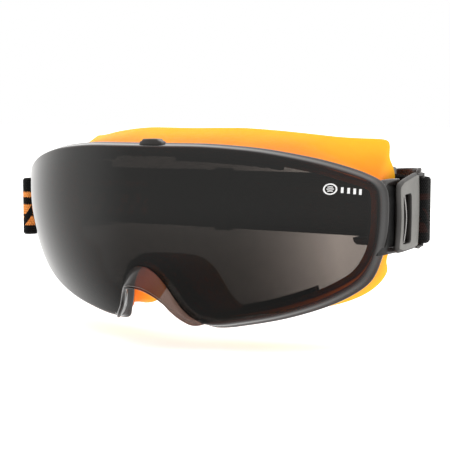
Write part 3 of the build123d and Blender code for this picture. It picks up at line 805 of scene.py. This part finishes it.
for side, tag in ((1, "left"), (-1, "right")):
    body = f"{tag}_buckle"

    def put(name, verts, faces, mats, kinds=None):
        if side < 0:
            verts, faces = mirrored(verts, faces)
        return make(
            f"buckle_{tag}_{name}", verts, faces, body, mats, face_material=kinds
        )

    # The plate's face bands take the lit grey; its edge bands and slot walls take the painted shade.
    plate = put("plate", plate_verts, flipped, [buckle_material, shaded_buckle_material], plate_faces_material)
    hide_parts(f"buckle_{tag}")
    # Hook that holds the post from the inner side.
    hook = []
    for a in np.linspace(math.radians(128), math.radians(262), 18):
        ring = rounded(19.0, 0.85, 0.35, 4)
        reach = [(p, HOOK_RADIUS + q) for p, q in ring]
        hook.append([(HOOK[0] + r * math.cos(a), HOOK[1] + r * math.sin(a), EAR_Z + p) for p, r in reach])
    verts, faces = skin(hook)
    put("hook", verts, outward(verts, faces), [shaded_buckle_material])
    web = chain([(x, y, EAR_Z) for x, y in ((79.3, 15.2), (79.7, 17.0), (80.3, 19.4), (80.9, 20.6))], 5)
    put("web", *sweep(web, (0.6, 18.6), radius=0.25), [shaded_buckle_material])
    # Thin light-grey rib by the slot: its colour is a painted highlight along the slot's curved edge.
    rib = [(82.0, 13.2, -6.4), (82.2, 14.3, -2.0), (82.25, 14.8, 2.3), (82.2, 14.3, 6.6), (82.0, 13.2, 11.0)]
    put("rib", *sweep(chain(rib, 8), (0.36, 0.36), up=(1, 0, 0), radius=0.17, ends=0.1), [rib_highlight_material])
    # Frame round the webbing: shoulders, bar and horns.
    for part, low, high in (("upper_shoulder", 17.0, 18.5), ("lower_shoulder", -9.6, -8.6)):
        path = chain([(81.5, 25.6, 0), (81.7, 28.2, 0), (81.6, 30.2, 0), (81.2, 31.4, 0)], 6)
        path[:, 2] = (low + high) / 2
        verts, faces = sweep(path, (1.7, high - low), radius=0.5)
        put(part, verts, faces, [shaded_buckle_material])
    turns = np.linspace(0, 2 * math.pi, 28, False)
    circle = [(BAR[0] + BAR_RADIUS * math.cos(a), BAR[1] + BAR_RADIUS * math.sin(a)) for a in turns]
    bar = [[(*xy, z) for xy in circle] for z in np.linspace(-9.3, 18.3, 12)]
    verts, faces = skin(bar)
    put("bar", verts, outward(verts, faces), [shaded_buckle_material])
    # The horns' dark reddish colour is painted shade with a painted reflection of the orange seal.
    for part, z_near, way, tall in (("upper_horn", 16.62, 1, 3.7), ("lower_horn", -8.3, -1, 2.0)):
        path = chain([(81.5, 27.0, 0), (81.2, 29.6, 0), (79.0, 33.6, 0), (74.4, 36.8, 0), (68.6, 38.6, 0)], 10)
        share = np.linspace(0, 1, len(path))
        root_end = np.sqrt(np.clip(share / 0.22, 0, 1))
        sizes = np.stack([1.6 - 0.4 * share, 1.2 + (tall - 1.2) * root_end - 0.9 * share**2], axis=1)
        path[:, 2] = z_near + way * sizes[:, 1] / 2
        verts, faces = sweep(path, sizes, radius=0.55)
        put(part, verts, faces, [shaded_horn_material])

# ---------------------------------------------------------------- strap

STRAP_Z = 4.2  # middle height of the webbing
LOOP_R = 1.4 + 0.2 + 0.75  # bar of the CAD, clearance and half the webbing
BAND_Y, PITCH = 41.4, 1.6  # the band across the back, and the step from one layer to the next
TAIL_Y = BAND_Y + PITCH


def arc(cx, cy, r, a0, a1, count):
    """count points of an arc, from angle a0 to a1 in degrees."""
    turns = np.radians(np.linspace(a0, a1, count))
    return [(cx + r * math.cos(a), cy + r * math.sin(a)) for a in turns]


def corner(side, x, radius, count=16):
    """Quarter turn from beside a bar (at side * x) to the band."""
    return arc(side * (x - radius), BAR[1], radius, 0 if side > 0 else 180, 90, count)


inner_x, outer_x = BAR[0] - LOOP_R, BAR[0] + LOOP_R
path = [(-50.0, BAND_Y - PITCH)]
path += corner(-1, inner_x, BAND_Y - PITCH - BAR[1])[::-1]
path += arc(-BAR[0], BAR[1], LOOP_R, 0, -90, 12)[1:-1]
# Slack fold at the wearer's right: forwards from the bar, round, and back to the band.
SLACK = [(-81.2, 28.85), (-84.2, 28.9), (-86.3, 27.2), (-88.0, 23.5), (-90.6, 17.5), (-92.3, 13.2), (-94.0, 11.2)]
SLACK += [(-96.0, 11.5), (-97.1, 14.0), (-97.5, 19.0), (-95.8, 27.0), (-91.0, 34.5), (-83.5, 39.5)]
SLACK += [(-74.0, 41.3), (-66.0, 41.4)]
path += [tuple(p) for p in chain(SLACK, 10)]
path += corner(1, inner_x, BAND_Y - BAR[1])[::-1]
path += arc(BAR[0], BAR[1], LOOP_R, 180, 360, 22)[1:-1]
path += [(outer_x, BAR[1])]
OUTER_TURN = TAIL_Y - BAR[1]
path += arc(outer_x - OUTER_TURN, BAR[1], OUTER_TURN, 0, 90, 16)[1:]
path += [(-34.0, TAIL_Y)]
path += arc(-34.0, TAIL_Y + PITCH / 2, PITCH / 2, 270, 90, 10)[1:]
path += [(-22.0, TAIL_Y + PITCH)]
fine = []
for a, b in zip(path, path[1:]):
    a, b = np.array(a), np.array(b)
    pieces = max(1, int(np.linalg.norm(b - a) / 1.2))
    for k in range(pieces):
        fine.append(a + (b - a) * k / pieces)
fine.append(np.array(path[-1]))
fine = np.array(fine)
run = np.concatenate([[0], np.cumsum(np.linalg.norm(np.diff(fine, axis=0), axis=1))])
tang = np.gradient(fine, run, axis=0)
tang /= np.linalg.norm(tang, axis=1)[:, None]
left = np.stack([-tang[:, 1], tang[:, 0]], axis=1)
HALF_W, HALF_T = 12.3, 0.72
rows_across = 32
half_profile = []
for k in range(rows_across + 1):
    v = -1 + 2 * k / rows_across
    half_profile.append((HALF_W * v, HALF_T * (1 - max(0, abs(v) - 0.94) / 0.06 * 0.75)))
# (across, out of the middle, 1 on the patterned side and 0 on the other)
profile = [(v, h, 1.0) for v, h in half_profile] + [(v, -h, 0.0) for v, h in reversed(half_profile)]
# The fold sags a little.
slack_share = np.clip((-fine[:, 0] - 84.0) / 8.5, 0, 1)
droop = -4.4 * slack_share**2 * (3 - 2 * slack_share)
sections, along_values, across_values, side_values = [], [], [], []
for i in range(len(fine)):
    taper = 0.35 if i in (0, len(fine) - 1) else 1.0  # cut ends are pinched
    ring = []
    for v, h, face in profile:
        xy = fine[i] + left[i] * h * taper
        ring.append((xy[0], xy[1], STRAP_Z + v + droop[i]))
        along_values.append(run[i])
        across_values.append(v)
        side_values.append(face)
    sections.append(ring)
verts, faces = skin(sections)
for values, fill in ((along_values, 0), (across_values, 0), (side_values, 1)):
    values.extend([fill] * 2)  # the two end caps' centres
strap = make(
    "strap_webbing", verts, outward(verts, faces), "strap", [webbing],
    floats={"along": along_values, "across": across_values, "side": side_values},
)
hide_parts("strap_band")
repaint("sewn_end_stitching", thread)
repaint("hem_stitching", thread)
repaint("strap_slider", slider_material)

# Keeper: soft loop with a raised bead along both edges.
low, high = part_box("strap_keeper")
low, high = np.array(low) / M, np.array(high) / M
keeper_centre = (low + high) / 2
size = high - low
sections = []


def keeper_ring(s, depth, height, radius):
    """Rounded rectangle at share s of the keeper's length."""
    ring = rounded(depth, height, radius, 8)
    x = keeper_centre[0] + s * size[0]
    sections.append([(x, keeper_centre[1] + p, keeper_centre[2] + q) for p, q in ring])


for s in np.linspace(-0.5, 0.5, 15):
    bead = 0.28 * math.exp(-((abs(s) - 0.42) / 0.07) ** 2)
    edge = 0.25 if abs(s) > 0.49 else 0.0
    keeper_ring(s, size[1] - 0.6 - 2 * edge + 2 * bead, size[2] - 1.8 - 2 * edge + 2 * bead, 1.3)
for s in np.linspace(0.5, -0.5, 9):
    keeper_ring(s, size[1] - 2.6, size[2] - 3.1, 0.5)
verts, faces = skin(sections, cap=False, closed=True)
keeper = make("keeper_loop", verts, outward(verts, faces), "keeper", [keeper_material])
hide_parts("strap_keeper")

# ---------------------------------------------------------------- small generic mark on the shield


def on_face(x, z, proud):
    """Point of the shield's face, raised by proud."""
    return (x, float(face_y(x, z)) - proud, z)


INK = 0.03  # how far the printing stands out


def strip_on_face(points, width, name):
    """Thin printed line that lies on the shield's face."""
    p = np.array(points, float)
    t = np.gradient(p, axis=0)
    t /= np.linalg.norm(t, axis=1)[:, None]
    side_dir = np.stack([-t[:, 1], t[:, 0]], axis=1) * width / 2
    strip = []
    for q, d in zip(p, side_dir):
        a, b = q + d, q - d
        strip.append([on_face(*a, INK), on_face(*b, INK), on_face(*b, 0.005), on_face(*a, 0.005)])
    v, f = skin(strip)
    return make(name, v, outward(v, f), "shield", [printed], smooth=False)


MARK = (66.6, 14.3)
MARK_RADIUS = 1.75
turns = np.linspace(0, 2 * math.pi, 40)
ring_points = [(MARK[0] + MARK_RADIUS * math.cos(a), MARK[1] + MARK_RADIUS * math.sin(a)) for a in turns]
strip_on_face(ring_points, 0.45, "mark_ring")
for index, (z0, half_len) in enumerate(((15.0, 0.75), (14.3, 1.0), (13.6, 0.75))):
    line = [(MARK[0] - half_len, z0), (MARK[0], z0 + 0.1), (MARK[0] + half_len, z0)]
    strip_on_face(line, 0.32, f"mark_line_{index}")
for index, x0 in enumerate((69.9, 71.6, 73.2, 74.7)):
    z0 = 13.9 - 0.25 * index
    strip_on_face([(x0, z0 - 1), (x0, z0), (x0, z0 + 1)], 0.7, f"mark_bar_{index}")

# ---------------------------------------------------------------- floor, light and camera

floor_mat, tree = material("studio_floor")
pale = node(tree, "ShaderNodeBsdfDiffuse", {"Color": (0.93, 0.93, 0.93, 1)}).outputs[0]
glow = node(tree, "ShaderNodeEmission", {"Color": (1, 1, 1, 1), "Strength": 0.55}).outputs[0]
finish_material(tree, node(tree, "ShaderNodeAddShader", {0: pale, 1: glow}).outputs[0])
mesh = bpy.data.meshes.new("studio_floor")
FLOOR_Z, FLOOR_HALF = -0.0465, 6.0
floor_corners = [(x * FLOOR_HALF, y * FLOOR_HALF, FLOOR_Z) for x, y in ((-1, -1), (1, -1), (1, 1), (-1, 1))]
mesh.from_pydata(floor_corners, [], [(0, 1, 2, 3)])
mesh.materials.append(floor_mat)
floor = bpy.data.objects.new("studio_floor", mesh)
bpy.context.scene.collection.objects.link(floor)
floor.visible_glossy = False  # the shield mirrors the world's even gradient instead

world = bpy.data.worlds.new("studio")
bpy.context.scene.world = world
world.use_nodes = True
tree = world.node_tree
tree.nodes.clear()
path_node = node(tree, "ShaderNodeLightPath")
seen = node(tree, "ShaderNodeBackground", {"Color": (1, 1, 1, 1), "Strength": 1.0}).outputs[0]
ways = node(tree, "ShaderNodeSeparateXYZ", {0: node(tree, "ShaderNodeTexCoord").outputs["Generated"]})


def glow_band(axis, start, stop, low, high):
    """Level that goes smoothly from low to high as a direction's x, y or z goes from start to stop."""
    links = {0: ways.outputs[axis], 1: start, 2: stop, 3: low, 4: high}
    return node(tree, "ShaderNodeMapRange", links, interpolation_type="SMOOTHSTEP").outputs[0]


behind = glow_band(1, -0.35, 0.5, 0.0, 0.6)
aloft = glow_band(2, 0.15, 0.8, 0.0, 0.35)
below = glow_band(2, -0.75, -0.1, 0.22, 0.60)
beside = glow_band(0, -0.6, -0.95, 0.0, 0.4)
glow_level = calc(tree, "ADD", calc(tree, "ADD", calc(tree, "ADD", behind, aloft), below), beside)
lit = node(tree, "ShaderNodeBackground", {"Color": (1, 0.99, 0.975, 1), "Strength": glow_level}).outputs[0]
mixed = node(tree, "ShaderNodeMixShader", {0: path_node.outputs["Is Camera Ray"], 1: lit, 2: seen}).outputs[0]
tree.links.new(mixed, node(tree, "ShaderNodeOutputWorld").inputs[0])


def softbox(name, place, target, extent, power):
    """Rectangular lamp at place that faces target; reflections don't show it."""
    data = bpy.data.lights.new(name, "AREA")
    data.shape = "RECTANGLE"
    data.size, data.size_y = extent
    data.energy = power
    obj = bpy.data.objects.new(name, data)
    bpy.context.scene.collection.objects.link(obj)
    obj.location = place
    z = np.array(place, float) - np.array(target, float)
    z /= np.linalg.norm(z)
    x = np.cross((0, 0, 1), z)
    x /= np.linalg.norm(x)
    y = np.cross(z, x)
    direction = Matrix((x, y, z)).transposed()
    obj.rotation_euler = direction.to_euler()
    obj.visible_glossy = False
    return obj


softbox("overhead", (0.1, -0.25, 0.75), (0, 0, 0), (0.7, 0.5), 2.0)
softbox("side_left", (-0.75, -0.35, 0.25), (0, 0, 0), (0.35, 0.6), 1.0)

# Camera: its right-hand direction and the direction from the goggles to it.
right = np.array((0.8563, 0.5165, 0.0))
back = np.array((0.5142, -0.8524, 0.0957))
above = np.cross(back, right)
camera_data = bpy.data.cameras.new("camera")
camera_data.lens = 93.1
camera_data.sensor_width = 36.0
camera_data.clip_start = 0.01
camera_data.clip_end = 50.0
camera = bpy.data.objects.new("camera", camera_data)
bpy.context.scene.collection.objects.link(camera)
turn = Matrix((right, above, back)).transposed().to_4x4()
turn.translation = (0.24385, -0.3811, 0.0406)
camera.matrix_world = turn
bpy.context.scene.camera = camera
bpy.context.scene.view_settings.view_transform = "Standard"
